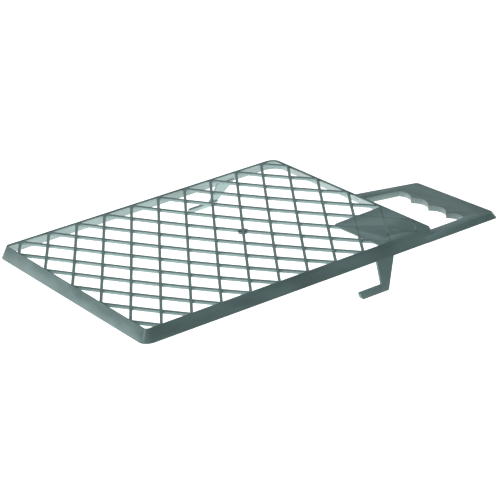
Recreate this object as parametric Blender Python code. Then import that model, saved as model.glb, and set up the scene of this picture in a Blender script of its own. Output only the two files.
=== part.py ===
"""Bucket grid for wiping paint rollers: a diamond lattice in a flared rim, a
finger handle on one short end and two hooks for the bucket.

The real thing is one injection moulding. Its members are modelled one by one:
rim walls and corners, lattice ribs, corner web, handle pieces and hooks.
Ribs of the two directions pass through each other in half laps, and touching
members keep GAP between them, so that each member is a solid of its own.

Working frame, carried by the empty "grid_origin": X runs from the toe wall
to the handle end, Y from the near long wall (-) to the far one (+), and Z = 0
is the top of the rim. The empty lifts and centres it, so that the finished
object has its origin at the middle of its bounding box's bottom.
"""

import math

import bmesh
import bpy
from mathutils import Matrix, Vector

# Lattice and rim, in metres. Lattice lines end on the rim's wall lines.
GRID_LENGTH = 0.270
GRID_WIDTH = 0.222
CELLS_LONG = 10
CELLS_WIDE = 5
RIB_WIDTH = 0.0021
RIB_DEPTH = 0.0026
RIB_TOP = -0.0003
SHORTEST_RIB = 0.006

WALL = 0.0015
RIM_PROUD = 0.0007
RIM_DEPTH = 0.0102
FLARE = 0.53
CORNER_RADIUS = 0.0040
CORNER_STEPS = 8

# Gate disc, where the plastic entered: it takes the place of one crossing.
GATE_RADIUS = 0.0044
GATE_CELLS = 6

# Corner web between the lattice, the near wall and the handle end wall.
WEB_LENGTH = 0.0508
WEB_WIDTH = 0.0640
WEB_TOP = -0.0009
WEB_RADIUS = 0.0045
PIT_RADIUS = 0.0009
PIT_DEPTH = 0.0008
PIT_FROM_END_WALL = 0.0366
PIT_FROM_NEAR_WALL = 0.0106

# Handle: an inverted channel, lower than the rim's top. The grip's outer side
# leans: its near end reaches further past the lattice than its far end. The
# far arm tapers: its outer and inner edge each have a root and a slope.
HANDLE_TOP = -0.0051
HANDLE_PLATE = 0.0016
HANDLE_WALL = 0.0015
HANDLE_REACH = 0.0640
HANDLE_REACH_FAR = 0.0610
HANDLE_CORNER_RADIUS = 0.0040
HANDLE_NEAR_CORNER_RADIUS = 0.0022
ARM_LENGTH = 0.0365
NEAR_ARM_START = 0.0015
NEAR_ARM_INNER = 0.0052
FAR_ARM_ROOT = (0.0030, -0.0105)
FAR_ARM_SLOPE = (-0.334, -0.274)
CUSP_REACH = 0.0352
SCALLOP_DEPTH = 0.0050
SCALLOP_PITCH = 0.0234
SCALLOPS = 4
LAST_CUSP_FROM_NEAR_WALL = 0.0002
SCALLOP_STEPS = 8
OPENING_FILLET = 0.0030

# Hooks, in the plane of the flared long walls. The leg's pairs are its toe
# side and its handle side.
HOOK_BOTTOM = -0.0316
LEG_THICKNESS = 0.0025
LEG_TOP_FROM_END = (0.0590, 0.0423)
LEG_SLOPE = (0.209, 0.7126)
FOOT_THICKNESS = 0.0040
FOOT_HEIGHT = 0.0044
FOOT_TIP_FROM_END = 0.0838
HEEL_RADIUS = 0.0020
TIP_RADIUS = 0.0012
TIP_STEPS = 4

GAP = 0.0003
REACH_PAST = 0.002
WELD = 0.000001
SHARP_ANGLE = math.radians(30)

HALF_WIDTH = GRID_WIDTH / 2
CELL_X = GRID_LENGTH / CELLS_LONG
CELL_Y = GRID_WIDTH / CELLS_WIDE
RIB_LINES = CELLS_LONG + CELLS_WIDE
RIB_BOTTOM = RIB_TOP - RIB_DEPTH
RIB_MIDDLE = RIB_TOP - RIB_DEPTH / 2
GATE_CENTRE = Vector((GATE_CELLS * CELL_X, 0.0))
GATE_INDEX = GATE_CELLS + CELLS_WIDE // 2
RIM_REACH = RIM_PROUD + FLARE * RIM_DEPTH
WEB_LOW = (GRID_LENGTH - WEB_LENGTH, -HALF_WIDTH)
WEB_HIGH = (GRID_LENGTH, WEB_WIDTH - HALF_WIDTH)
HANDLE_DROP = RIM_DEPTH + HANDLE_TOP
SCALLOP_RADIUS = ((SCALLOP_PITCH / 2) ** 2 + SCALLOP_DEPTH**2) / (2 * SCALLOP_DEPTH)

# Name: colour, roughness. Every member is the same grey-green polypropylene,
# a little lighter where the wall is thin.
FINISHES = {
    "plastic_rim": ((0.075, 0.115, 0.110), 0.42),
    "plastic_lattice": ((0.090, 0.140, 0.132), 0.45),
    "plastic_web": ((0.110, 0.160, 0.155), 0.45),
    "plastic_handle": ((0.082, 0.125, 0.118), 0.40),
    "plastic_hook": ((0.070, 0.108, 0.103), 0.42),
}


def clear_scene():
    for obj in list(bpy.data.objects):
        bpy.data.objects.remove(obj, do_unlink=True)


def make_collection(name):
    collection = bpy.data.collections.new(name)
    bpy.context.scene.collection.children.link(collection)
    return collection


def finish_material(owner, finish):
    """A material for one member, with the finish of its family."""
    colour, roughness = FINISHES[finish]
    material = bpy.data.materials.new(owner)
    material.use_nodes = True
    shader = material.node_tree.nodes["Principled BSDF"]
    shader.inputs["Base Color"].default_value = (*colour, 1.0)
    shader.inputs["Roughness"].default_value = roughness
    shader.inputs["Metallic"].default_value = 0.0
    material.diffuse_color = (*colour, 1.0)
    return material


def mesh_object(name, bm):
    """Turns the bmesh into an object that hangs on the origin empty."""
    bmesh.ops.recalc_face_normals(bm, faces=bm.faces)
    mesh = bpy.data.meshes.new(name)
    bm.to_mesh(mesh)
    bm.free()
    obj = bpy.data.objects.new(name, mesh)
    obj.parent = ORIGIN
    return obj


def add_member(name, bm, finish, place=None):
    obj = mesh_object(name, bm)
    obj.data.shade_smooth()
    obj.data.set_sharp_from_angle(angle=SHARP_ANGLE)
    obj.data.materials.append(finish_material(name, finish))
    if place:
        obj.matrix_local = place
    PARTS.objects.link(obj)
    return obj


def add_cutter(name, bm):
    obj = mesh_object(name, bm)
    obj.hide_render = True
    obj.display_type = "WIRE"
    CUTTERS.objects.link(obj)
    return obj


def add_boolean(obj, operation, other):
    modifier = obj.modifiers.new(f"{operation.lower()}_{other.name}", "BOOLEAN")
    modifier.operation = operation
    modifier.solver = "EXACT"
    modifier.object = other


def plate(outline, thickness):
    """The flat outline as a closed solid, centred on Z = 0."""
    curve = bpy.data.curves.new("outline", "CURVE")
    curve.dimensions = "2D"
    curve.fill_mode = "BOTH"
    curve.extrude = thickness / 2
    spline = curve.splines.new("POLY")
    spline.points.add(len(outline) - 1)
    for point, (x, y) in zip(spline.points, outline):
        point.co = (x, y, 0.0, 1.0)
    spline.use_cyclic_u = True
    guide = bpy.data.objects.new("outline", curve)
    PARTS.objects.link(guide)
    graph = bpy.context.evaluated_depsgraph_get()
    mesh = bpy.data.meshes.new_from_object(guide.evaluated_get(graph))
    bm = bmesh.new()
    bm.from_mesh(mesh)
    bmesh.ops.remove_doubles(bm, verts=bm.verts, dist=WELD)
    bpy.data.objects.remove(guide)
    bpy.data.meshes.remove(mesh)
    return bm


def level_plate(outline, bottom, top):
    """The outline as a plate between two heights."""
    bm = plate(outline, top - bottom)
    bm.transform(Matrix.Translation((0, 0, (bottom + top) / 2)))
    return bm


def loft(sections):
    """A closed solid through rings of as many points each, capped at both ends."""
    bm = bmesh.new()
    rings = [[bm.verts.new(point) for point in ring] for ring in sections]
    for first, second in zip(rings, rings[1:]):
        for i in range(len(first)):
            j = (i + 1) % len(first)
            bm.faces.new((first[i], first[j], second[j], second[i]))
    bm.faces.new(list(reversed(rings[0])))
    bm.faces.new(rings[-1])
    return bm


def flared_plate(bottom_outline, bottom, top_outline, top):
    """A plate whose outline changes from its bottom to its top."""
    return loft([[(x, y, bottom) for x, y in bottom_outline], [(x, y, top) for x, y in top_outline]])


def arc(centre, radius, start, end, steps):
    """Points from one angle to the other, in degrees, both ends included."""
    angles = [math.radians(start + (end - start) * i / steps) for i in range(steps + 1)]
    return [(centre[0] + radius * math.cos(a), centre[1] + radius * math.sin(a)) for a in angles]


def rounded_rectangle(low, high, radius):
    """Anticlockwise outline of a rectangle with round corners."""
    corners = (
        ((high[0] - radius, high[1] - radius), 0),
        ((low[0] + radius, high[1] - radius), 90),
        ((low[0] + radius, low[1] + radius), 180),
        ((high[0] - radius, low[1] + radius), 270),
    )
    outline = []
    for centre, start in corners:
        outline += arc(centre, radius, start, start + 90, CORNER_STEPS)
    return outline


def rim_outline(offset):
    """The rim's plan, a distance outside the lattice's end lines."""
    low = (-offset, -HALF_WIDTH - offset)
    high = (GRID_LENGTH + offset, HALF_WIDTH + offset)
    return rounded_rectangle(low, high, CORNER_RADIUS - RIM_PROUD + offset)


# Rim: four walls and four corners of one flared profile.


def add_wall(name, middle, turn, length):
    """A straight wall. Unturned it runs along X and flares towards -Y."""
    flare = Matrix.Identity(4)
    flare[1][2] = FLARE
    face_to_middle = Matrix.Translation((0, WALL / 2, -RIM_DEPTH / 2))
    size = Matrix.Diagonal((length - GAP, WALL, RIM_DEPTH, 1.0))
    bm = bmesh.new()
    bmesh.ops.create_cube(bm, size=1.0, matrix=flare @ face_to_middle @ size)
    place = Matrix.Translation((*middle, 0)) @ Matrix.Rotation(math.radians(turn), 4, "Z")
    add_member(name, bm, "plastic_rim", place)


def add_corner(name, centre, turn):
    """A quarter turn of the wall's section about the corner's centre."""
    gap_angle = GAP / CORNER_RADIUS
    out = CORNER_RADIUS + FLARE * RIM_DEPTH
    bm = bmesh.new()
    section = ((CORNER_RADIUS - WALL, 0), (out - WALL, -RIM_DEPTH), (out, -RIM_DEPTH), (CORNER_RADIUS, 0))
    verts = [bm.verts.new((x, 0, z)) for x, z in section]
    face = bm.faces.new(verts)
    bmesh.ops.spin(
        bm,
        geom=[*verts, *face.edges, face],
        cent=(0, 0, 0),
        axis=(0, 0, 1),
        angle=math.pi / 2 - gap_angle,
        steps=CORNER_STEPS,
    )
    turned = Matrix.Rotation(math.radians(turn) + gap_angle / 2, 4, "Z")
    add_member(name, bm, "plastic_rim", Matrix.Translation((*centre, 0)) @ turned)


def add_rim():
    inset = CORNER_RADIUS - RIM_PROUD
    low = (inset, -HALF_WIDTH + inset)
    high = (GRID_LENGTH - inset, HALF_WIDTH - inset)
    edge_y = HALF_WIDTH + RIM_PROUD
    add_wall("rim_wall_near", (GRID_LENGTH / 2, -edge_y), 0, high[0] - low[0])
    add_wall("rim_wall_handle_end", (GRID_LENGTH + RIM_PROUD, 0), 90, high[1] - low[1])
    add_wall("rim_wall_far", (GRID_LENGTH / 2, edge_y), 180, high[0] - low[0])
    add_wall("rim_wall_toe", (-RIM_PROUD, 0), 270, high[1] - low[1])
    add_corner("rim_corner_far_handle", high, 0)
    add_corner("rim_corner_far_toe", (low[0], high[1]), 90)
    add_corner("rim_corner_near_toe", low, 180)
    add_corner("rim_corner_near_handle", (high[0], low[1]), 270)


# Lattice: two families of straight ribs, mirror images of each other.


def rib_line(family, index):
    """A point of the rib's line and its direction. Family "a" leans to the
    handle as it goes far, family "b" to the toe."""
    lean = 1 if family == "a" else -1
    first = (index - CELLS_WIDE + 0.5) if family == "a" else (index + 0.5)
    point = Vector((first * CELL_X, -HALF_WIDTH))
    return point, Vector((lean * CELL_X, CELL_Y)).normalized()


def inside_run(point, direction, low, high):
    """The stretch of the line that lies in the rectangle, or None."""
    start, end = -math.inf, math.inf
    for axis in (0, 1):
        first = (low[axis] - point[axis]) / direction[axis]
        second = (high[axis] - point[axis]) / direction[axis]
        start = max(start, min(first, second))
        end = min(end, max(first, second))
    return (start, end) if end > start else None


def open_runs(family, index):
    """The stretches of one lattice line between the walls and the web."""
    point, direction = rib_line(family, index)
    start, end = inside_run(point, direction, (0, -HALF_WIDTH), (GRID_LENGTH, HALF_WIDTH))
    web = inside_run(point, direction, WEB_LOW, WEB_HIGH)
    runs = [(start, web[0]), (web[1], end)] if web else [(start, end)]
    return [run for run in runs if run[1] - run[0] > SHORTEST_RIB]


def rib_runs(family, index):
    """The same stretches, parted at the gate disc."""
    runs = open_runs(family, index)
    if index == GATE_INDEX:
        point, direction = rib_line(family, index)
        gate = direction.dot(GATE_CENTRE - point)
        start, end = runs.pop()
        runs += [(start, gate), (gate, end)]
    return runs


def bar_place(family, index, run, height):
    """Where the middle of a bar along this run lies, with its X along it."""
    point, direction = rib_line(family, index)
    middle = point + direction * (run[0] + run[1]) / 2
    turn = Matrix.Rotation(math.atan2(direction.y, direction.x), 4, "Z")
    return Matrix.Translation((*middle, height)) @ turn


def create_bar(bm, run, width, height, place=Matrix.Identity(4)):
    """A straight bar that runs past both ends of the run."""
    size = Matrix.Diagonal((run[1] - run[0] + 2 * REACH_PAST, width, height, 1.0))
    bmesh.ops.create_cube(bm, size=1.0, matrix=place @ size)


def add_lap_cutter(family):
    """What the ribs of this family take out of the ribs that cross them."""
    if family == "a":
        bottom, top = RIB_MIDDLE - GAP / 2, RIB_TOP + REACH_PAST
    else:
        bottom, top = RIB_BOTTOM - REACH_PAST, RIB_MIDDLE + GAP / 2
    bm = bmesh.new()
    for index in range(RIB_LINES):
        for run in open_runs(family, index):
            place = bar_place(family, index, run, (bottom + top) / 2)
            create_bar(bm, run, RIB_WIDTH + 2 * GAP, top - bottom, place)
    return add_cutter(f"lap_of_family_{family}", bm)


def add_window_cutter():
    """The space that the ribs may fill: inside the rim, outside the web."""
    inside_rim = rim_outline(RIM_PROUD - WALL - GAP)
    window = add_cutter("lattice_window", level_plate(inside_rim, RIB_BOTTOM - REACH_PAST, REACH_PAST))
    around_web = level_plate(web_outline(-GAP, REACH_PAST), RIB_BOTTOM - 2 * REACH_PAST, 2 * REACH_PAST)
    add_boolean(window, "DIFFERENCE", add_cutter("web_clearance", around_web))
    return window


def disc(radius, bottom, top, centre, segments=32):
    bm = bmesh.new()
    bmesh.ops.create_cone(
        bm,
        cap_ends=True,
        segments=segments,
        radius1=radius,
        radius2=radius,
        depth=top - bottom,
        matrix=Matrix.Translation((*centre, (bottom + top) / 2)),
    )
    return bm


def add_lattice():
    window = add_window_cutter()
    laps = {"a": add_lap_cutter("b"), "b": add_lap_cutter("a")}
    add_member("gate_disc", disc(GATE_RADIUS, RIB_BOTTOM, RIB_TOP, GATE_CENTRE), "plastic_lattice")
    around_gate = disc(GATE_RADIUS + GAP, RIB_BOTTOM - REACH_PAST, REACH_PAST, GATE_CENTRE)
    gate_clearance = add_cutter("gate_clearance", around_gate)
    for family in ("a", "b"):
        for index in range(RIB_LINES):
            runs = rib_runs(family, index)
            for part, run in enumerate(runs):
                suffix = "" if len(runs) == 1 else ("_near", "_far")[part]
                name = f"rib_{family}{index + 1:02d}{suffix}"
                bm = bmesh.new()
                create_bar(bm, run, RIB_WIDTH, RIB_DEPTH)
                place = bar_place(family, index, run, RIB_MIDDLE)
                rib = add_member(name, bm, "plastic_lattice", place)
                add_boolean(rib, "INTERSECT", window)
                add_boolean(rib, "DIFFERENCE", laps[family])
                if index == GATE_INDEX:
                    add_boolean(rib, "DIFFERENCE", gate_clearance)


# Corner web: a thin plate flush under the rib tops, with the ribs' lines
# standing on it as low ridges.


def web_outline(inset, past_walls=0.0):
    """The web's plan. The two sides at the walls keep clear of them, or run
    past them for a cutter."""
    wall_face = WALL - RIM_PROUD + GAP
    low_x = GRID_LENGTH - WEB_LENGTH + inset
    high_y = WEB_WIDTH - HALF_WIDTH - inset
    if past_walls:
        high_x = GRID_LENGTH + past_walls
        low_y = -HALF_WIDTH - past_walls
        near_handle = [(high_x, low_y)]
    else:
        high_x = GRID_LENGTH - wall_face
        low_y = -HALF_WIDTH + wall_face
        radius = CORNER_RADIUS - WALL - GAP
        near_handle = arc((high_x - radius, low_y + radius), radius, 270, 360, CORNER_STEPS)
    far_toe = arc((low_x + WEB_RADIUS, high_y - WEB_RADIUS), WEB_RADIUS, 90, 180, CORNER_STEPS)
    return [(low_x, low_y), *near_handle, (high_x, high_y), *far_toe]


def add_web():
    web = add_member("corner_web", level_plate(web_outline(0.0), RIB_BOTTOM, WEB_TOP), "plastic_web")
    window = add_cutter("web_window", level_plate(web_outline(0.0), RIB_BOTTOM - REACH_PAST, REACH_PAST))
    ridge_root = (RIB_BOTTOM + WEB_TOP) / 2
    for family in ("a", "b"):
        bm = bmesh.new()
        for index in range(RIB_LINES):
            run = inside_run(*rib_line(family, index), WEB_LOW, WEB_HIGH)
            if run:
                place = bar_place(family, index, run, (ridge_root + RIB_TOP) / 2)
                create_bar(bm, run, RIB_WIDTH, RIB_TOP - ridge_root, place)
        ridges = add_cutter(f"web_ridges_{family}", bm)
        add_boolean(ridges, "INTERSECT", window)
        add_boolean(web, "UNION", ridges)
    centre = (GRID_LENGTH - PIT_FROM_END_WALL, -HALF_WIDTH + PIT_FROM_NEAR_WALL)
    pit = disc(PIT_RADIUS, WEB_TOP - PIT_DEPTH, REACH_PAST, centre, 16)
    add_boolean(web, "DIFFERENCE", add_cutter("web_pit", pit))


# Handle: near arm, scalloped grip and far arm, one inverted channel.


def channel_section(outer_top, inner, outer_bottom, out):
    """An arm's section as (across, height) pairs; out is -1 or 1, the side
    of the arm that flares."""
    top, plate, bottom = HANDLE_TOP, HANDLE_TOP - HANDLE_PLATE, -RIM_DEPTH
    wall = out * HANDLE_WALL
    slope = FLARE * HANDLE_PLATE * out
    return (
        (outer_top, top),
        (outer_bottom, bottom),
        (outer_bottom - wall, bottom),
        (outer_top + slope - wall, plate),
        (inner + wall, plate),
        (inner + wall, bottom),
        (inner, bottom),
        (inner, top),
    )


def far_arm_edges(x):
    """Outer and inner edge of the far arm's top, x past the lattice's end."""
    return tuple(root + slope * x for root, slope in zip(FAR_ARM_ROOT, FAR_ARM_SLOPE))


def near_edge(depth):
    """Y of the near long face, a depth below the rim's top."""
    return -HALF_WIDTH - RIM_PROUD - FLARE * depth


def add_arm(name, start, end, section_at, rim_clearance):
    sections = [[(GRID_LENGTH + x, y, z) for y, z in section_at(x)] for x in (start, end)]
    arm = add_member(name, loft(sections), "plastic_handle")
    add_boolean(arm, "DIFFERENCE", rim_clearance)


def near_arm_section(_):
    return channel_section(near_edge(-HANDLE_TOP), NEAR_ARM_INNER - HALF_WIDTH, near_edge(RIM_DEPTH), -1)


def far_arm_section(x):
    outer, inner = far_arm_edges(x)
    return channel_section(outer, inner, outer + FLARE * HANDLE_DROP, 1)


def scallop_side(inset):
    """The grip's finger side from the far arm to the near arm, as (x past the
    lattice's end, y). The inset moves it into the grip."""
    radius = SCALLOP_RADIUS + inset
    centre_x = CUSP_REACH + SCALLOP_DEPTH - SCALLOP_RADIUS
    half = SCALLOP_PITCH / 2
    cusp_angle = math.degrees(math.asin(half / radius))
    points = []
    for i in range(SCALLOPS):
        cusp = LAST_CUSP_FROM_NEAR_WALL + (SCALLOPS - i) * SCALLOP_PITCH - HALF_WIDTH
        centre = (centre_x, cusp - half)
        first = last_angle = cusp_angle
        if i == 0:
            first = far_arm_meets_scallop(centre, radius, inset)
        if i == SCALLOPS - 1:
            last_angle = 0.0
        run = arc(centre, radius, first, -last_angle, SCALLOP_STEPS)
        points += run[(1 if i else 0) :]
    floor_x = centre_x + radius
    fillet = max(OPENING_FILLET - inset, GAP)
    corner_y = NEAR_ARM_INNER - HALF_WIDTH - inset
    points += arc((floor_x - fillet, corner_y + fillet), fillet, 0, -90, CORNER_STEPS)
    return points


def far_arm_meets_scallop(centre, radius, inset):
    """The angle on the first scallop where the far arm's inner edge ends."""
    slope = FAR_ARM_SLOPE[1]
    shift = inset * math.hypot(1.0, slope)
    angle = 0.0
    for _ in range(40):
        x = centre[0] + radius * math.cos(angle)
        edge = FAR_ARM_ROOT[1] + slope * x + shift
        angle = math.asin((edge - centre[1]) / radius)
    return math.degrees(angle)


def grip_outline(inset, drop, start):
    """The grip's plan, anticlockwise from the near side. The outer sides
    flare with the drop below the handle's top; the inset thins it."""
    out = FLARE * drop - inset
    near_y = near_edge(-HANDLE_TOP) - out
    near_radius = HANDLE_NEAR_CORNER_RADIUS + out
    near_centre = (HANDLE_REACH - HANDLE_NEAR_CORNER_RADIUS, near_y + near_radius)
    far_radius = HANDLE_CORNER_RADIUS + out
    end_x = HANDLE_REACH_FAR - HANDLE_CORNER_RADIUS
    slope = FAR_ARM_SLOPE[0]
    lean = math.degrees(math.atan(-slope))
    shift = math.hypot(1.0, slope)
    far_centre = (end_x, far_arm_edges(end_x)[0] - HANDLE_CORNER_RADIUS * shift)
    outer_start = far_arm_edges(start)[0] + out * shift
    inner_start = far_arm_edges(start)[1] + inset * shift
    plan = [(start, near_y)]
    plan += arc(near_centre, near_radius, 270, 360, CORNER_STEPS)
    plan += arc(far_centre, far_radius, 0, 90 - lean, CORNER_STEPS)
    plan += [(start, outer_start), (start, inner_start)]
    plan += scallop_side(inset)
    plan += [(start, NEAR_ARM_INNER - HALF_WIDTH - inset)]
    return [(GRID_LENGTH + x, y) for x, y in plan]


def add_handle():
    inside = rim_outline(RIM_PROUD + GAP - FLARE * REACH_PAST)
    outside = rim_outline(RIM_REACH + GAP + FLARE * REACH_PAST)
    around_rim = flared_plate(outside, -RIM_DEPTH - REACH_PAST, inside, REACH_PAST)
    rim_clearance = add_cutter("rim_clearance", around_rim)
    arm_end = ARM_LENGTH - GAP
    add_arm("handle_near_arm", NEAR_ARM_START, arm_end, near_arm_section, rim_clearance)
    add_arm("handle_far_arm", 0.0, arm_end, far_arm_section, rim_clearance)

    top = grip_outline(0.0, 0.0, ARM_LENGTH)
    bottom = grip_outline(0.0, HANDLE_DROP, ARM_LENGTH)
    grip = add_member("handle_grip", flared_plate(bottom, -RIM_DEPTH, top, HANDLE_TOP), "plastic_handle")
    start = ARM_LENGTH - REACH_PAST
    ceiling = grip_outline(HANDLE_WALL, HANDLE_PLATE, start)
    mouth = grip_outline(HANDLE_WALL, HANDLE_DROP + REACH_PAST, start)
    hollow = flared_plate(mouth, -RIM_DEPTH - REACH_PAST, ceiling, HANDLE_TOP - HANDLE_PLATE)
    add_boolean(grip, "DIFFERENCE", add_cutter("grip_hollow", hollow))


# Hooks: a tapering leg under each long wall and a foot towards the toe.


def add_hook_piece(name, side, outline, thickness):
    """The outline, as (x, z), stood up and slanted like the flared wall."""
    bm = plate(outline, thickness)
    slant = Matrix.Identity(4)
    slant[1][1:3] = (-FLARE * side, -1.0)
    slant[2][1:3] = (1.0, 0.0)
    bm.transform(slant)
    middle = HALF_WIDTH + RIM_PROUD - thickness / 2
    add_member(name, bm, "plastic_hook", Matrix.Translation((0, side * middle, 0)))


def leg_edges(z):
    """The leg's toe side and handle side at this height."""
    drop = z + RIM_DEPTH
    return tuple(GRID_LENGTH - start + slope * drop for start, slope in zip(LEG_TOP_FROM_END, LEG_SLOPE))


def leg_outline():
    """The tapering leg, down to the heel."""
    top = -RIM_DEPTH - GAP
    toe_top, handle_top = leg_edges(top)
    lean = math.degrees(math.atan(LEG_SLOPE[1]))
    heel_z = HOOK_BOTTOM + HEEL_RADIUS
    heel_x = leg_edges(heel_z)[1] - HEEL_RADIUS * math.hypot(1.0, LEG_SLOPE[1])
    heel = arc((heel_x, heel_z), HEEL_RADIUS, 270, 360 - lean, CORNER_STEPS)
    return [(handle_top, top), (toe_top, top), (leg_edges(HOOK_BOTTOM)[0], HOOK_BOTTOM), *heel]


def foot_outline():
    """The foot, from its round tip to the leg's toe side."""
    top = HOOK_BOTTOM + FOOT_HEIGHT
    tip = GRID_LENGTH - FOOT_TIP_FROM_END + TIP_RADIUS
    outline = arc((tip, top - TIP_RADIUS), TIP_RADIUS, 90, 180, TIP_STEPS)
    outline += arc((tip, HOOK_BOTTOM + TIP_RADIUS), TIP_RADIUS, 180, 270, TIP_STEPS)
    return [*outline, (leg_edges(HOOK_BOTTOM)[0] - GAP, HOOK_BOTTOM), (leg_edges(top)[0] - GAP, top)]


def add_hooks():
    for label, side in (("near", -1), ("far", 1)):
        add_hook_piece(f"hook_leg_{label}", side, leg_outline(), LEG_THICKNESS)
        add_hook_piece(f"hook_foot_{label}", side, foot_outline(), FOOT_THICKNESS)


def place_origin():
    """Sets the box's middle over the origin and its lowest face on Z = 0."""
    toe_end = -RIM_REACH
    grip_end = GRID_LENGTH + HANDLE_REACH + FLARE * HANDLE_DROP
    ORIGIN.location = (-(toe_end + grip_end) / 2, 0.0, -HOOK_BOTTOM)


clear_scene()
PARTS = make_collection("bucket_grid")
CUTTERS = make_collection("cutters")
ORIGIN = bpy.data.objects.new("grid_origin", None)
PARTS.objects.link(ORIGIN)
add_rim()
add_lattice()
add_web()
add_handle()
add_hooks()
place_origin()
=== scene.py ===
"""Looks of the bucket grid, a single moulding of grey-green polypropylene.

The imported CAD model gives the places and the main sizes, the constants below
give the small ones. Each family of CAD nodes is replaced by one continuous
moulded piece: the flared rim, the diamond lattice, the gate disc, the corner
web, the channel handle and the two hooks.
"""

import math

import bmesh
import bpy
from mathutils import Matrix, Vector


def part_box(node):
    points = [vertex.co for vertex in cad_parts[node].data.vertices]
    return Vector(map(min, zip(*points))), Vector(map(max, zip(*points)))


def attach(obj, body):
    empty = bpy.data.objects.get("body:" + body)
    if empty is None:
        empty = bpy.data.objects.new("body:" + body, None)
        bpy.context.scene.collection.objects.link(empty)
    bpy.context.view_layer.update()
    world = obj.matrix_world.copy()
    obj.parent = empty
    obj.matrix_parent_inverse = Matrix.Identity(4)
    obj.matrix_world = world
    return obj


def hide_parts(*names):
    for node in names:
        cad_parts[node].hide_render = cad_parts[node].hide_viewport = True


# Lengths are in metres, the camera's lens and sensor in millimetres, angles in
# degrees.
CELLS_LONG = 10
CELLS_WIDE = 5
WALL = 0.0015
CORNER_STEPS = 12
EDGE_STEPS = 4

# Rim. It widens by FLARE times its depth. The insets place the middle of an
# edge's curve, as a multiple of the edge's radius.
FLARE = 0.53
RIM_PROUD = 0.0007
LIP_RADIUS = 0.0002
INNER_LIP_RADIUS = 0.0012
LIP_INSET = 0.65
SKIRT_EDGE_RADIUS = 0.0002
SKIRT_EDGE_INSET = 1.6
RADIUS_FAR_HANDLE = 0.0085
RADIUS_FAR_TOE = 0.0035
RADIUS_NEAR_TOE = 0.0035
RADIUS_NEAR_HANDLE = 0.0040

# Ejector mark on the inner face of the handle end wall.
MARK_LENGTH = 0.0070
MARK_HEIGHT = 0.0011
MARK_DEPTH = 0.0005
MARK_FROM_NEAR = 0.1018
MARK_DROP = 0.0045

# Ribs. The section pairs a depth below the ribs' tops with the width there.
RIB_SECTION = ((0.0, 0.0017), (0.0001, 0.0021), (0.0004, 0.0024), (0.0009, 0.0025))
RIB_WIDTH_FOOT = 0.0023
RIB_IN_WALL = 0.0003
LATTICE_SHARP = 50
SAG = 0.0021

# Corner web and gate disc. The dish's width is a part of the disc's radius.
WEB_THICKNESS = 0.0014
WEB_ABOVE_RIBS = 0.00006
WEB_RADIUS = 0.0045
WEB_STEPS = 8
WEB_EDGE = 0.0003
PIT_RADIUS = 0.0010
PIT_DEPTH = 0.0010
PIT_STEPS = 20
PIT_FROM_END_WALL = 0.0366
PIT_FROM_NEAR_WALL = 0.0106
GATE_STEPS = 24
GATE_EDGE = 0.0005
GATE_BELOW_RIBS = 0.0010
GATE_DISH_DEPTH = 0.0002
GATE_DISH_WIDTH = 0.7

# Handle. Reaches count from the lattice's end line. The far arm's roots are
# where its edges meet that line, counted from the line's middle.
HANDLE_PLATE = 0.0016
HANDLE_WALL = 0.0015
HANDLE_EDGE = 0.0004
HANDLE_REACH_FAR = 0.0610
HANDLE_CORNER_RADIUS = 0.0040
HANDLE_NEAR_CHAMFER = 0.0028
ARM_EMBED = 0.0010
NEAR_TAIL = 0.0080
SCALLOPS = 4
SCALLOP_PITCH = 0.0234
SCALLOP_DEPTH = 0.0050
CUSP_REACH = 0.0352
LAST_CUSP_FROM_NEAR_WALL = 0.0002
OPENING_FILLET = 0.0030
FAR_ARM_ROOT_OUT = 0.0030
FAR_ARM_ROOT_IN = -0.0105
FAR_ARM_SLOPE_OUT = -0.334
FAR_ARM_SLOPE_IN = -0.274
SEARCH_STEPS = 40

# Hooks. The leg's pairs are its toe side and its handle side.
LEG_TOP_FROM_END = (0.0590, 0.0423)
LEG_SLOPE = (0.209, 0.7126)
LEG_THICKNESS = 0.0025
HOOK_ROOT = 0.0020
FOOT_HEIGHT = 0.0044
FOOT_THICKNESS = 0.0040
HOOK_EDGE = 0.0008
HEEL_RADIUS = 0.0020
TIP_RADIUS = 0.0012
INNER_FILLET = 0.0012
HOOK_STEPS = 6

# Two faces that would coincide are kept this far apart.
SKIN = 0.00002
REACH_PAST = 0.002

# Camera, in front of the near toe corner, on a long lens.
CAMERA_AIM = (0.1396, 0.0681, 0.0)
CAMERA_DISTANCE = 1.6481
CAMERA_AZIMUTH = 32.068
CAMERA_ELEVATION = 23.101
CAMERA_ROLL = -5.360
CAMERA_LENS = 148.06
CAMERA_SHIFT = (0.0010, -0.0012)
SENSOR_WIDTH = 36.0

# The plastic. Noise lies mostly between its low and its high value; a spread
# is how far a property swings around 1 with it. A bump is a strength and a
# height.
PLASTIC_COLOUR = (0.28, 0.36, 0.35)
NOISE_LOW = 0.3
NOISE_HIGH = 0.7
CLOUD_SCALE = 26.0
CLOUD_SPREAD = 0.06
STREAK_SCALE = 60.0
STREAK_BUMP = (0.35, 0.0006)
GRAIN_SCALE = 1400.0
GRAIN_BUMP = (0.12, 0.00006)
DULL_SPREAD = 0.15
GRAIN_SPREAD = 0.05
# Edges are painted lighter with pointiness between the next two values: partly worn, partly a painted
# highlight.
WEAR_AND_HIGHLIGHT_FROM = 0.5
WEAR_AND_HIGHLIGHT_FULL = 0.62
EVEN = (1, 1, 1)

# Painted light: ribs are painted paler where their faces stand steeper than SIDE_TILT,
# and as the rest from TOP_TILT on, for light coming through their thin sides.
# Painted shade: the web is darker along the middle of the ribs.
SIDE_PAINTED_LIGHT = 1.45
SIDE_TILT = 0.15
TOP_TILT = 0.6
SINK_SHADE = 0.7
SINK_FROM = 0.90
SINK_FULL = 0.95

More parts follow.
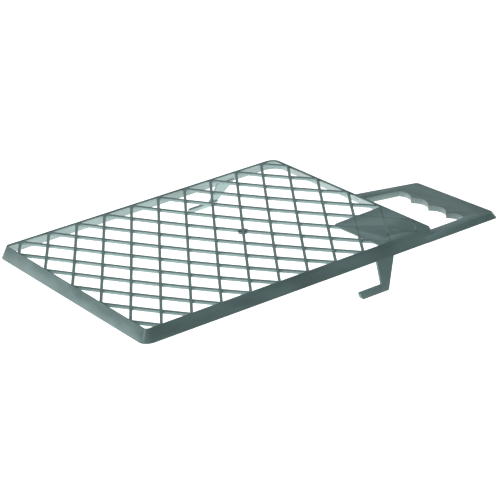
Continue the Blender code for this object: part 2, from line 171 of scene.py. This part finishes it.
# The studio. The camera sees the whole floor at FLOOR_SEEN. The object is lit
# with FLOOR_GLOW from under and behind it and with FLOOR_FRONT from the near
# side; FLOOR_SHADE and FLOOR_SLANT say where one changes into the other.
FLOOR_SIZE = 14.0
FLOOR_DROP = -0.002
FLOOR_WHITE = 0.9
FLOOR_SEEN = 1.3
FLOOR_GLOW = 1.15
FLOOR_FRONT = 0.04
FLOOR_SHADE = (-0.18, -0.07)
FLOOR_SLANT = -0.05
FILL_COLOUR = (0.78, 1.0, 1.0)
FILL_STRENGTH = 0.225
WHITE = (1.0, 1.0, 1.0)
COOL = (0.85, 1.0, 1.0)

# Name, place, what it is turned to, size, power in watts, colour.
SOFTBOXES = (
    ("left_softbox", (-1.6, 0.0, 0.75), (0.14, 0.11, 0.0), (0.5, 0.4), 4.5, COOL),
    ("back_softbox", (1.1, 1.9, 0.9), (0.14, 0.11, 0.0), (1.4, 0.7), 2.0, COOL),
    ("right_softbox", (2.0, 0.15, 0.4), (0.27, 0.05, 0.0), (0.5, 0.5), 2.0, WHITE),
)


# Places, all read from the CAD model.

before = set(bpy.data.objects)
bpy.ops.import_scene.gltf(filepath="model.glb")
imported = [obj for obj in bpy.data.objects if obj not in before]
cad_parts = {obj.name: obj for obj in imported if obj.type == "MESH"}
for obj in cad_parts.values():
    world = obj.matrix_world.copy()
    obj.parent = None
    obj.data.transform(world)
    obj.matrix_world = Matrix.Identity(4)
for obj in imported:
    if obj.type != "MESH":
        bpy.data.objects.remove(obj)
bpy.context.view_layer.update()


def node_low(name):
    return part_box(name)[0]


def node_high(name):
    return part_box(name)[1]


TOE_X = node_high("rim_wall_toe").x - WALL + RIM_PROUD
END_X = node_low("rim_wall_handle_end").x + WALL - RIM_PROUD
NEAR_Y = node_high("rim_wall_near").y - WALL + RIM_PROUD
FAR_Y = node_low("rim_wall_far").y + WALL - RIM_PROUD
RIM_TOP = node_high("rim_wall_near").z
RIM_DEPTH = RIM_TOP - node_low("rim_wall_near").z
GRID_LENGTH = END_X - TOE_X
GRID_WIDTH = FAR_Y - NEAR_Y
RIB_TOP = node_high("rib_a05").z - RIM_TOP
RIB_FOOT = node_low("rib_a05").z - RIM_TOP
HALF_CELL_X = GRID_LENGTH / CELLS_LONG / 2
HALF_CELL_Y = GRID_WIDTH / CELLS_WIDE / 2
HANDLE_TOP = node_high("handle_grip").z - RIM_TOP
HANDLE_DROP = RIM_DEPTH + HANDLE_TOP
HANDLE_REACH = node_high("handle_grip").x - END_X - FLARE * HANDLE_DROP
WEB_LENGTH = END_X - node_low("corner_web").x
WEB_WIDTH = node_high("corner_web").y - NEAR_Y
GATE_LOW, GATE_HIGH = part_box("gate_disc")
HOOK_BOTTOM = node_low("hook_foot_near").z - RIM_TOP
FOOT_TIP = node_low("hook_foot_near").x - TOE_X


def nodes_named(prefix):
    return sorted(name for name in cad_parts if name.startswith(prefix))


# Meshes are drawn in the rim's own frame: X from the toe wall's line, Y from
# the near wall's, Z up from the top of the rim.
TO_MODEL = Matrix.Translation((TOE_X, NEAR_Y, RIM_TOP))


def piece(name, bm, material, nodes, sharp=35):
    """Adds the mesh as a piece that stands for these CAD nodes."""
    bmesh.ops.recalc_face_normals(bm, faces=bm.faces)
    bm.transform(TO_MODEL)
    mesh = bpy.data.meshes.new(name)
    bm.to_mesh(mesh)
    bm.free()
    mesh.materials.append(material)
    mesh.shade_smooth()
    mesh.set_sharp_from_angle(angle=math.radians(sharp))
    obj = bpy.data.objects.new(name, mesh)
    bpy.context.scene.collection.objects.link(obj)
    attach(obj, "root")
    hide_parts(*nodes)
    return obj


def arc(centre, radius, start, end, steps):
    """Points from one angle to the other, in degrees, both ends included."""
    angles = [math.radians(start + (end - start) * i / steps) for i in range(steps + 1)]
    return [(centre[0] + radius * math.cos(a), centre[1] + radius * math.sin(a)) for a in angles]


def loft(sections, closed=False):
    """A closed solid through rings of as many points each: capped at both
    ends, or closed on itself."""
    bm = bmesh.new()
    rings = [[bm.verts.new(point) for point in ring] for ring in sections]
    pairs = list(zip(rings, rings[1:]))
    if closed:
        pairs.append((rings[-1], rings[0]))
    for first, second in pairs:
        for i in range(len(first)):
            j = (i + 1) % len(first)
            bm.faces.new((first[i], first[j], second[j], second[i]))
    if not closed:
        bm.faces.new(list(reversed(rings[0])))
        bm.faces.new(rings[-1])
    return bm


def at_height(outline, z):
    return [(x, y, z) for x, y in outline]


def shaped(bm, *modifiers):
    """The mesh after these modifiers, given as functions that add one."""
    bmesh.ops.recalc_face_normals(bm, faces=bm.faces)
    mesh = bpy.data.meshes.new("shaped")
    bm.to_mesh(mesh)
    bm.free()
    obj = bpy.data.objects.new("shaped", mesh)
    bpy.context.scene.collection.objects.link(obj)
    helpers = [add(obj) for add in modifiers]
    graph = bpy.context.evaluated_depsgraph_get()
    result = bmesh.new()
    result.from_mesh(obj.evaluated_get(graph).to_mesh())
    for helper in [obj, *helpers]:
        if helper:
            bpy.data.objects.remove(helper)
    return result


def cut_by(bm):
    """Cuts away the solid in bm."""

    def add(obj):
        bmesh.ops.recalc_face_normals(bm, faces=bm.faces)
        mesh = bpy.data.meshes.new("cutter")
        bm.to_mesh(mesh)
        bm.free()
        cutter = bpy.data.objects.new("cutter", mesh)
        bpy.context.scene.collection.objects.link(cutter)
        modifier = obj.modifiers.new("cut", "BOOLEAN")
        modifier.operation = "DIFFERENCE"
        modifier.solver = "EXACT"
        modifier.object = cutter
        return cutter

    return add


def rounded(width, segments=3, angle=30):
    """Rounds every edge that is sharper than the angle."""

    def add(obj):
        modifier = obj.modifiers.new("edges", "BEVEL")
        modifier.width = width
        modifier.segments = segments
        modifier.limit_method = "ANGLE"
        modifier.angle_limit = math.radians(angle)
        modifier.miter_outer = "MITER_ARC"

    return add


def sag(x, y):
    """How far the thin lattice hangs down here. The walls hold its edges."""
    along = 1 - (2 * x / GRID_LENGTH - 1) ** 2
    across = 1 - (2 * y / GRID_WIDTH - 1) ** 2
    return -SAG * along * across


def hang(bm):
    for vert in bm.verts:
        vert.co.z += sag(vert.co.x, vert.co.y)


# Materials.


class Nodes:
    """Short hand for building one material's node tree."""

    def __init__(self, material):
        material.use_nodes = True
        self.tree = material.node_tree
        self.shader = self.tree.nodes["Principled BSDF"]

    def add(self, kind, inputs=None, **settings):
        node = self.tree.nodes.new(kind)
        for key, value in settings.items():
            setattr(node, key, value)
        for key, value in (inputs or {}).items():
            self.feed(node, key, value)
        return node

    def feed(self, node, key, value):
        if isinstance(value, bpy.types.NodeSocket):
            self.tree.links.new(value, node.inputs[key])
        else:
            node.inputs[key].default_value = value

    def noise(self, where, scale, detail=3.0, stretch=(1, 1, 1)):
        """Noise around 0.5, its cells stretched along some axes."""
        spread = self.add("ShaderNodeMapping", {"Vector": where, "Scale": stretch})
        settings = {"Vector": spread.outputs[0], "Scale": scale, "Detail": detail, "Roughness": 0.55}
        return self.add("ShaderNodeTexNoise", settings).outputs["Fac"]

    def range(self, value, low, high, to_low, to_high, clamp=True):
        ends = {"From Min": low, "From Max": high, "To Min": to_low, "To Max": to_high}
        return self.add("ShaderNodeMapRange", {"Value": value, **ends}, clamp=clamp).outputs[0]

    def swing(self, noise, spread, middle=1.0):
        """The noise as a factor that swings around the middle."""
        return self.range(noise, NOISE_LOW, NOISE_HIGH, (1 - spread) * middle, (1 + spread) * middle)

    def bump(self, height, bump, **more):
        settings = {"Height": height, "Strength": bump[0], "Distance": bump[1], **more}
        return self.add("ShaderNodeBump", settings).outputs[0]

    def times(self, first, second):
        return self.add("ShaderNodeMath", {0: first, 1: second}, operation="MULTIPLY").outputs[0]


def plastic(name, streaks, roughness, flow=EVEN, shade=None, painted_lightness=1.0, edge_wear_and_highlight=1.12):
    """Moulded polypropylene: cloudy pigmentation, flow streaks stretched by the
    melt, a finely grained surface and edges painted lighter, partly worn and
    partly a painted highlight. Flow says how the streaks are stretched,
    streaks how strong they are. Shade is a function that returns one more
    factor of painted light or shade. The lightness factor paints this piece
    lighter or darker for how it is lit, and the edge factor says how much
    lighter its edges are painted."""
    material = bpy.data.materials.new(name)
    nodes = Nodes(material)
    where = nodes.add("ShaderNodeTexCoord").outputs["Object"]
    cloud = nodes.noise(where, CLOUD_SCALE)
    streak = nodes.noise(where, STREAK_SCALE, 2.0, flow)
    grain = nodes.noise(where, GRAIN_SCALE, 2.0)
    edge = nodes.add("ShaderNodeNewGeometry").outputs["Pointiness"]
    # Painted light and shade: this factor paints the piece lighter or darker for how it is lit.
    value = nodes.swing(cloud, CLOUD_SPREAD, painted_lightness)
    value = nodes.times(value, nodes.swing(streak, streaks))
    # Edges painted lighter: partly worn, partly a painted highlight.
    value = nodes.times(value, nodes.range(edge, WEAR_AND_HIGHLIGHT_FROM, WEAR_AND_HIGHLIGHT_FULL, 1.0, edge_wear_and_highlight))
    if shade:
        value = nodes.times(value, shade(nodes, where))
    tint = nodes.add("ShaderNodeHueSaturation", {"Color": (*PLASTIC_COLOUR, 1), "Value": value})
    nodes.feed(nodes.shader, "Base Color", tint.outputs[0])
    dull = nodes.swing(cloud, DULL_SPREAD, roughness)
    nodes.feed(nodes.shader, "Roughness", nodes.times(dull, nodes.swing(grain, GRAIN_SPREAD)))
    ripple = nodes.bump(streak, STREAK_BUMP)
    nodes.feed(nodes.shader, "Normal", nodes.bump(grain, GRAIN_BUMP, Normal=ripple))
    return material


def painted_light_sides(nodes, _):
    """Painted light: rib sides painted paler than tops, for light through the thin sides."""
    normal = nodes.add("ShaderNodeNewGeometry").outputs["Normal"]
    up = nodes.add("ShaderNodeSeparateXYZ", {0: normal}).outputs["Z"]
    upward = nodes.add("ShaderNodeMath", {0: up}, operation="ABSOLUTE").outputs[0]
    return nodes.range(upward, SIDE_TILT, TOP_TILT, SIDE_PAINTED_LIGHT, 1.0)


def sink_line_painted_shade(nodes, where):
    """Painted shade: darker lines where the ribs run through the web."""
    place = nodes.add("ShaderNodeSeparateXYZ", {0: where})
    along = nodes.range(place.outputs["X"], TOE_X, TOE_X + HALF_CELL_X, 0.0, 1.0, False)
    across = nodes.range(place.outputs["Y"], NEAR_Y, NEAR_Y + HALF_CELL_Y, 0.0, 1.0, False)
    lines = []
    for way in ("ADD", "SUBTRACT"):
        diagonal = nodes.add("ShaderNodeMath", {0: along, 1: across}, operation=way).outputs[0]
        wave = nodes.add("ShaderNodeMath", {0: diagonal, 1: 1.0}, operation="PINGPONG").outputs[0]
        lines.append(nodes.range(wave, SINK_FROM, SINK_FULL, 1.0, SINK_SHADE))
    return nodes.times(*lines)


# Painted light and shade: each piece is painted a lighter or darker copy of the same plastic for how
# it is lit, the rib sides paler for light coming through them, the web darker along the ribs, and the
# edges lighter, partly worn and partly a painted highlight, strongest on the handle.
RIM_PLASTIC = plastic("plastic_rim", 0.2, 0.3, flow=(0.4, 0.4, 1.6))
LATTICE_PLASTIC = plastic("plastic_lattice", 0.06, 0.34, shade=painted_light_sides)
GATE_PLASTIC = plastic("plastic_gate", 0.06, 0.4, painted_lightness=0.6)
WEB_PLASTIC = plastic("plastic_web", 0.06, 0.32, flow=(0.5, 1, 1), shade=sink_line_painted_shade, painted_lightness=1.12)
HANDLE_PLASTIC = plastic("plastic_handle", 0.08, 0.32, flow=(1, 0.35, 1), painted_lightness=0.86, edge_wear_and_highlight=1.6)
HOOK_PLASTIC = plastic("plastic_hook", 0.08, 0.3, flow=(1, 1, 0.4), painted_lightness=1.25)


# Rim: one flared skirt with a rounded lip. Each corner's radius is set by
# itself.


def rim_outline(out):
    """Plan of the rim, a distance outside its top outer edge."""
    low = (-RIM_PROUD - out, -RIM_PROUD - out)
    high = (GRID_LENGTH + RIM_PROUD + out, GRID_WIDTH + RIM_PROUD + out)
    corners = (
        (high[0], high[1], RADIUS_FAR_HANDLE, 0),
        (low[0], high[1], RADIUS_FAR_TOE, 90),
        (low[0], low[1], RADIUS_NEAR_TOE, 180),
        (high[0], low[1], RADIUS_NEAR_HANDLE, 270),
    )
    outline = []
    for x, y, top_radius, start in corners:
        radius = top_radius + out
        centre_x = x - radius if x > GRID_LENGTH / 2 else x + radius
        centre_y = y - radius if y > GRID_WIDTH / 2 else y + radius
        outline += arc((centre_x, centre_y), radius, start, start + 90, CORNER_STEPS)
    return outline


def rim_profile():
    """Closed section of the skirt, as distance outside the top outer edge and
    height: up the outer face, over the lip and down the inner face."""
    slope = math.degrees(math.atan(1 / FLARE))
    lip, edge = LIP_RADIUS, SKIRT_EDGE_RADIUS
    foot = FLARE * RIM_DEPTH
    inner = -WALL
    edge_middle = (foot - edge * SKIRT_EDGE_INSET, -RIM_DEPTH + edge)
    inner_middle = (inner + INNER_LIP_RADIUS, -INNER_LIP_RADIUS)
    points = arc(edge_middle, edge, -90, 90 - slope, EDGE_STEPS)
    points += arc((-lip * LIP_INSET, -lip), lip, 90 - slope, 90, EDGE_STEPS)
    points += arc(inner_middle, INNER_LIP_RADIUS, 90, 180, EDGE_STEPS)
    points.append((foot + inner, -RIM_DEPTH))
    return points


def mark_cutter():
    """The slot that the ejector mark leaves in the handle end wall."""
    bm = bmesh.new()
    x = GRID_LENGTH + RIM_PROUD - WALL + FLARE * MARK_DROP
    place = Matrix.Translation((x, MARK_FROM_NEAR, -MARK_DROP))
    size = Matrix.Diagonal((2 * MARK_DEPTH, MARK_LENGTH, MARK_HEIGHT, 1.0))
    bmesh.ops.create_cube(bm, size=1.0, matrix=place @ size)
    return bm


def build_rim():
    sections = [at_height(rim_outline(out), height) for out, height in rim_profile()]
    bm = shaped(loft(sections, closed=True), cut_by(mark_cutter()))
    piece("rim", bm, RIM_PLASTIC, nodes_named("rim_"))


# Lattice: both families of ribs welded into one sheet of struts.


def strut_corners(x, y, width, beyond):
    """The corners of one crossing. At a wall the outward corner is missing,
    and the two beside it run on along their struts into the wall."""
    run = math.hypot(HALF_CELL_X, HALF_CELL_Y)
    half_x = width / 2 * run / HALF_CELL_Y
    half_y = width / 2 * run / HALF_CELL_X
    out_x = -beyond if x < SKIN else beyond if x > GRID_LENGTH - SKIN else 0.0
    out_y = -beyond if y < SKIN else beyond if y > GRID_WIDTH - SKIN else 0.0
    if out_x:
        half_y -= beyond * HALF_CELL_Y / HALF_CELL_X
    if out_y:
        half_x -= beyond * HALF_CELL_X / HALF_CELL_Y
    corners = {
        "toe": (x - half_x, y + out_y),
        "handle": (x + half_x, y + out_y),
        "near": (x + out_x, y - half_y),
        "far": (x + out_x, y + half_y),
    }
    outward = {
        "toe": x < SKIN,
        "handle": x > GRID_LENGTH - SKIN,
        "near": y < SKIN,
        "far": y > GRID_WIDTH - SKIN,
    }
    return {side: corner for side, corner in corners.items() if not outward[side]}


def add_layer(bm, width, z):
    """The lattice's plan at one height. Returns its vertices by crossing."""
    beyond = RIM_PROUD - WALL - FLARE * z + RIB_IN_WALL
    verts = {}
    for k in range(2 * CELLS_LONG + 1):
        for j in range(2 * CELLS_WIDE + 1):
            if (k + j) % 2:
                corners = strut_corners(k * HALF_CELL_X, j * HALF_CELL_Y, width, beyond)
                verts[k, j] = {side: bm.verts.new((*xy, z)) for side, xy in corners.items()}
    return verts


def layer_faces(verts):
    """Lists of vertices, one for each crossing and each strut."""
    for (k, j), own in verts.items():
        yield [own[side] for side in ("toe", "near", "handle", "far") if side in own]
        up = verts.get((k + 1, j + 1))
        if up:
            yield [own["handle"], up["near"], up["toe"], own["far"]]
        down = verts.get((k + 1, j - 1))
        if down:
            yield [own["near"], down["toe"], down["far"], own["handle"]]


def build_lattice():
    """Struts with a crowned top and sides that taper for the mould."""
    bm = bmesh.new()
    layers = [add_layer(bm, width, RIB_TOP - drop) for drop, width in RIB_SECTION]
    layers.append(add_layer(bm, RIB_WIDTH_FOOT, RIB_FOOT))
    for corners in layer_faces(layers[0]):
        bm.faces.new(corners)
    edges = [list(edge.verts) for edge in bm.edges if edge.is_boundary]
    for upper, lower in zip(layers, layers[1:]):
        below = {vert: lower[key][side] for key, own in upper.items() for side, vert in own.items()}
        under = [[below[vert] for vert in pair] for pair in edges]
        for (first, second), (third, fourth) in zip(edges, under):
            bm.faces.new((first, second, fourth, third))
        edges = under
    for corners in layer_faces(layers[-1]):
        bm.faces.new(list(reversed(corners)))
    hang(bm)
    piece("lattice", bm, LATTICE_PLASTIC, nodes_named("rib_"), LATTICE_SHARP)


def build_gate():
    """The gate disc, sunk below the tops of the ribs that cross it."""
    centre = (GATE_LOW + GATE_HIGH) / 2
    x, y = centre.x - TOE_X, centre.y - NEAR_Y
    radius = (GATE_HIGH.x - GATE_LOW.x) / 2
    dish = RIB_TOP - GATE_BELOW_RIBS
    edge = dish + GATE_DISH_DEPTH
    rim, floor = radius - GATE_EDGE, radius * GATE_DISH_WIDTH
    profile = ((radius, RIB_FOOT), (radius, edge), (rim, edge), (floor, dish))
    last = 360 - 360 / GATE_STEPS
    sections = [at_height(arc((x, y), r, 0, last, GATE_STEPS - 1), z + sag(x, y)) for r, z in profile]
    piece("gate", loft(sections), GATE_PLASTIC, ["gate_disc"])


# Web: the thin plate in the corner by the handle.


def build_web():
    low_x = GRID_LENGTH - WEB_LENGTH
    far_toe = arc((low_x + WEB_RADIUS, WEB_WIDTH - WEB_RADIUS), WEB_RADIUS, 90, 180, WEB_STEPS)
    outline = [(low_x, 0.0), (GRID_LENGTH, 0.0), (GRID_LENGTH, WEB_WIDTH), *far_toe]
    top = RIB_TOP + WEB_ABOVE_RIBS
    bm = loft([at_height(outline, top - WEB_THICKNESS), at_height(outline, top)])
    pit = bmesh.new()
    place = Matrix.Translation((GRID_LENGTH - PIT_FROM_END_WALL, PIT_FROM_NEAR_WALL, top))
    bmesh.ops.create_cone(
        pit,
        cap_ends=True,
        segments=PIT_STEPS,
        radius1=PIT_RADIUS / 2,
        radius2=PIT_RADIUS,
        depth=2 * PIT_DEPTH,
        matrix=place,
    )
    bm = shaped(bm, cut_by(pit), rounded(WEB_EDGE, 2, 40))
    hang(bm)
    piece("web", bm, WEB_PLASTIC, ["corner_web"])


# Handle: an inverted channel with scalloped finger grips.


def near_face(z):
    """Y of the near long face at this height."""
    return -RIM_PROUD + FLARE * z


def end_face(z):
    """X of the handle end wall's outer face at this height."""
    return GRID_LENGTH + RIM_PROUD - FLARE * z


def far_arm_edges(x):
    """Y of the far arm's outer and inner top edge, X past the end wall."""
    middle = GRID_WIDTH / 2
    outer = middle + FAR_ARM_ROOT_OUT + FAR_ARM_SLOPE_OUT * x
    inner = middle + FAR_ARM_ROOT_IN + FAR_ARM_SLOPE_IN * x
    return outer, inner


def scallop_side(inset):
    """The finger side from the far arm to the near arm, X past the end wall."""
    depth, half = SCALLOP_DEPTH, SCALLOP_PITCH / 2
    top_radius = (half**2 + depth**2) / (2 * depth)
    radius = top_radius + inset
    centre_x = CUSP_REACH + depth - top_radius
    cusp_angle = math.degrees(math.asin(half / radius))
    points = []
    for i in range(SCALLOPS):
        cusp = LAST_CUSP_FROM_NEAR_WALL + (SCALLOPS - i) * SCALLOP_PITCH
        centre = (centre_x, cusp - half)
        first = far_arm_meets(centre, radius, inset) if i == 0 else cusp_angle
        last = 0.0 if i == SCALLOPS - 1 else -cusp_angle
        points += arc(centre, radius, first, last, CORNER_STEPS)[(1 if i else 0) :]
    fillet = max(OPENING_FILLET - inset, SKIN)
    corner_y = node_high("handle_near_arm").y - NEAR_Y - inset
    fillet_middle = (centre_x + radius - fillet, corner_y + fillet)
    return points + arc(fillet_middle, fillet, 0, -90, CORNER_STEPS)


def far_arm_meets(centre, radius, inset):
    """The angle on the first scallop where the far arm's inner edge ends."""
    shift = inset * math.hypot(1.0, FAR_ARM_SLOPE_IN)
    angle = 0.0
    for _ in range(SEARCH_STEPS):
        edge = far_arm_edges(centre[0] + radius * math.cos(angle))[1] + shift
        angle = math.asin((edge - centre[1]) / radius)
    return math.degrees(angle)


def handle_outline(inset, z, start, tail):
    """The handle's plan at a height. The outer sides flare, the inset thins
    it, start is where its arms begin and tail how far its near side runs on
    along the rim's near wall."""
    out = FLARE * (HANDLE_TOP - z) - inset
    near_y = near_face(HANDLE_TOP) - out - SKIN
    chamfer = HANDLE_NEAR_CHAMFER
    near_centre = (HANDLE_REACH + out - chamfer, near_y + chamfer)
    far_radius = HANDLE_CORNER_RADIUS + out
    end_x = HANDLE_REACH_FAR - HANDLE_CORNER_RADIUS
    lean = math.degrees(math.atan(-FAR_ARM_SLOPE_OUT))
    shift = math.hypot(1.0, FAR_ARM_SLOPE_OUT)
    far_centre = (end_x, far_arm_edges(end_x)[0] - HANDLE_CORNER_RADIUS * shift)
    corner_y = node_high("handle_near_arm").y - NEAR_Y - inset
    plan = [(-tail, near_y)]
    plan += arc(near_centre, chamfer, 270, 360, 1)
    plan += arc(far_centre, far_radius, 0, 90 - lean, CORNER_STEPS)
    plan.append((start, far_arm_edges(start)[0] + out * shift))
    plan.append((start, far_arm_edges(start)[1] + inset * math.hypot(1.0, FAR_ARM_SLOPE_IN)))
    plan += scallop_side(inset)
    plan.append((start, corner_y))
    plan.append((start, near_y + WALL - SKIN))
    plan.append((-tail, near_y + WALL - SKIN))
    return [(GRID_LENGTH + x, y) for x, y in plan]


def handle_solid(inset, bottom, top, embed, tail=None):
    """The handle filled in. Its arms end inside the rim's end wall."""
    sections = []
    for z in (bottom, top):
        start = end_face(z) - GRID_LENGTH - embed
        outline = handle_outline(inset, z, start, -start if tail is None else tail)
        sections.append(at_height(outline, z))
    return loft(sections)


def build_handle():
    body = handle_solid(0.0, -RIM_DEPTH, HANDLE_TOP, ARM_EMBED, NEAR_TAIL)
    ceiling = HANDLE_TOP - HANDLE_PLATE
    hollow = handle_solid(HANDLE_WALL, -RIM_DEPTH - REACH_PAST, ceiling, ARM_EMBED + REACH_PAST)
    bm = shaped(body, cut_by(hollow), rounded(HANDLE_EDGE, 3))
    piece("handle", bm, HANDLE_PLASTIC, nodes_named("handle_"))


# Hooks: a tapering leg below each long wall and a foot towards the toe.


def leg_edges(z):
    """The leg's toe side and handle side at this height."""
    drop = z + RIM_DEPTH
    return [GRID_LENGTH - start + slope * drop for start, slope in zip(LEG_TOP_FROM_END, LEG_SLOPE)]


def hook_outline():
    """The hook from the side, as the outline of its leg from the handle side
    round to the foot's inner corner, and of its foot from there on."""
    root = -RIM_DEPTH + HOOK_ROOT
    toe_root, handle_root = leg_edges(root)
    step = HOOK_BOTTOM + FOOT_HEIGHT
    inner = leg_edges(step + INNER_FILLET)[0] - INNER_FILLET
    tip = FOOT_TIP + TIP_RADIUS
    heel_z = HOOK_BOTTOM + HEEL_RADIUS
    heel_x = leg_edges(heel_z)[1] - HEEL_RADIUS * math.hypot(1.0, LEG_SLOPE[1])
    lean = math.degrees(math.atan(LEG_SLOPE[1]))
    leg = [(leg_edges(step)[1], step), (handle_root, root), (toe_root, root)]
    leg += arc((inner, step + INNER_FILLET), INNER_FILLET, 0, -90, HOOK_STEPS)
    foot = arc((tip, step - TIP_RADIUS), TIP_RADIUS, 90, 180, EDGE_STEPS)
    foot += arc((tip, HOOK_BOTTOM + TIP_RADIUS), TIP_RADIUS, 180, 270, EDGE_STEPS)
    foot += arc((heel_x, heel_z), HEEL_RADIUS, 270, 360 - lean, HOOK_STEPS)
    return leg, foot


def slanted(side):
    """From (X, Z, inwards) to the rim's frame, against the flared wall on
    this side, -1 for the near wall and 1 for the far wall."""
    face = GRID_WIDTH / 2 + side * (GRID_WIDTH / 2 + RIM_PROUD - SKIN)
    return Matrix(((1, 0, 0, 0), (0, -FLARE * side, -side, face), (0, 1, 0, 0), (0, 0, 0, 1)))


def build_hook(label, side):
    """A thin leg and a thicker foot, flush with the skirt outside."""
    leg, foot = hook_outline()
    outline = leg + foot
    bm = bmesh.new()
    outside = [bm.verts.new((x, z, 0.0)) for x, z in outline]
    inside = [bm.verts.new((x, z, LEG_THICKNESS)) for x, z in outline]
    for i in range(len(outline)):
        j = (i + 1) % len(outline)
        bm.faces.new((outside[i], outside[j], inside[j], inside[i]))
    bm.faces.new(outside)
    bm.faces.new(inside[: len(leg)])
    foot_face = bm.faces.new([*inside[len(leg) - 1 :], inside[0]])
    foot_face = bmesh.ops.extrude_discrete_faces(bm, faces=[foot_face])["faces"][0]
    bmesh.ops.translate(bm, verts=foot_face.verts, vec=(0, 0, FOOT_THICKNESS - LEG_THICKNESS))
    bm.transform(slanted(side))
    bm = shaped(bm, rounded(HOOK_EDGE))
    piece(f"hook_{label}", bm, HOOK_PLASTIC, [f"hook_leg_{label}", f"hook_foot_{label}"])


build_rim()
build_lattice()
build_gate()
build_web()
build_handle()
build_hook("near", -1)
build_hook("far", 1)


# Camera and studio.


def build_camera():
    data = bpy.data.cameras.new("camera")
    data.lens = CAMERA_LENS
    data.sensor_width = SENSOR_WIDTH
    data.shift_x, data.shift_y = CAMERA_SHIFT
    data.clip_end = 50
    camera = bpy.data.objects.new("camera", data)
    bpy.context.scene.collection.objects.link(camera)
    turn = Matrix.Rotation(math.radians(-CAMERA_AZIMUTH), 4, "Z")
    tilt = Matrix.Rotation(math.radians(90 - CAMERA_ELEVATION), 4, "X")
    roll = Matrix.Rotation(math.radians(CAMERA_ROLL), 4, "Z")
    aim = Matrix.Translation(TO_MODEL @ Vector(CAMERA_AIM))
    back = Matrix.Translation((0, 0, CAMERA_DISTANCE))
    camera.matrix_world = aim @ turn @ tilt @ roll @ back
    bpy.context.scene.camera = camera


def background(tree, colour, strength):
    node = tree.nodes.new("ShaderNodeBackground")
    node.inputs["Color"].default_value = (*colour, 1)
    node.inputs["Strength"].default_value = strength
    return node.outputs[0]


def build_world():
    """White to look at, and a dim cool fill to light with."""
    world = bpy.data.worlds.new("studio")
    bpy.context.scene.world = world
    world.use_nodes = True
    tree = world.node_tree
    tree.nodes.clear()
    path = tree.nodes.new("ShaderNodeLightPath")
    mix = tree.nodes.new("ShaderNodeMixShader")
    out = tree.nodes.new("ShaderNodeOutputWorld")
    tree.links.new(path.outputs["Is Camera Ray"], mix.inputs["Fac"])
    tree.links.new(background(tree, FILL_COLOUR, FILL_STRENGTH), mix.inputs[1])
    tree.links.new(background(tree, (1, 1, 1), 1.0), mix.inputs[2])
    tree.links.new(mix.outputs[0], out.inputs[0])
    bpy.context.scene.view_settings.view_transform = "Standard"


def build_floor():
    """A white table that glows, less on the near side. From below it cannot
    be seen."""
    bm = bmesh.new()
    bmesh.ops.create_grid(bm, x_segments=1, y_segments=1, size=FLOOR_SIZE / 2)
    mesh = bpy.data.meshes.new("floor")
    bm.to_mesh(mesh)
    bm.free()
    floor = bpy.data.objects.new("floor", mesh)
    bpy.context.scene.collection.objects.link(floor)
    floor.location.z = FLOOR_DROP
    material = bpy.data.materials.new("floor_white")
    nodes = Nodes(material)
    nodes.feed(nodes.shader, "Base Color", (FLOOR_WHITE, FLOOR_WHITE, FLOOR_WHITE, 1))
    nodes.feed(nodes.shader, "Roughness", 0.9)
    nodes.feed(nodes.shader, "Specular IOR Level", 0.0)
    nodes.feed(nodes.shader, "Emission Color", (1, 1, 1, 1))
    where = nodes.add("ShaderNodeTexCoord").outputs["Object"]
    place = nodes.add("ShaderNodeSeparateXYZ", {0: where})
    terms = {0: place.outputs["X"], 1: FLOOR_SLANT, 2: place.outputs["Y"]}
    slanting = nodes.add("ShaderNodeMath", terms, operation="MULTIPLY_ADD").outputs[0]
    spill = nodes.range(slanting, *FLOOR_SHADE, FLOOR_FRONT, FLOOR_GLOW)
    seen = nodes.add("ShaderNodeLightPath").outputs["Is Camera Ray"]
    glow = nodes.range(seen, 0.0, 1.0, spill, FLOOR_SEEN)
    nodes.feed(nodes.shader, "Emission Strength", glow)
    clear = nodes.add("ShaderNodeBsdfTransparent")
    below = nodes.add("ShaderNodeNewGeometry").outputs["Backfacing"]
    mix = nodes.add("ShaderNodeMixShader", {0: below, 1: nodes.shader.outputs[0], 2: clear.outputs[0]})
    out = nodes.tree.nodes["Material Output"]
    nodes.feed(out, "Surface", mix.outputs[0])
    mesh.materials.append(material)


def add_softbox(name, place, aim, size, power, colour):
    data = bpy.data.lights.new(name, "AREA")
    data.shape = "RECTANGLE"
    data.size, data.size_y = size
    data.energy = power
    data.color = colour
    light = bpy.data.objects.new(name, data)
    bpy.context.scene.collection.objects.link(light)
    place, aim = TO_MODEL @ Vector(place), TO_MODEL @ Vector(aim)
    turn = (aim - place).to_track_quat("-Z", "Y").to_matrix().to_4x4()
    light.matrix_world = Matrix.Translation(place) @ turn


build_camera()
build_world()
build_floor()
for softbox in SOFTBOXES:
    add_softbox(*softbox)
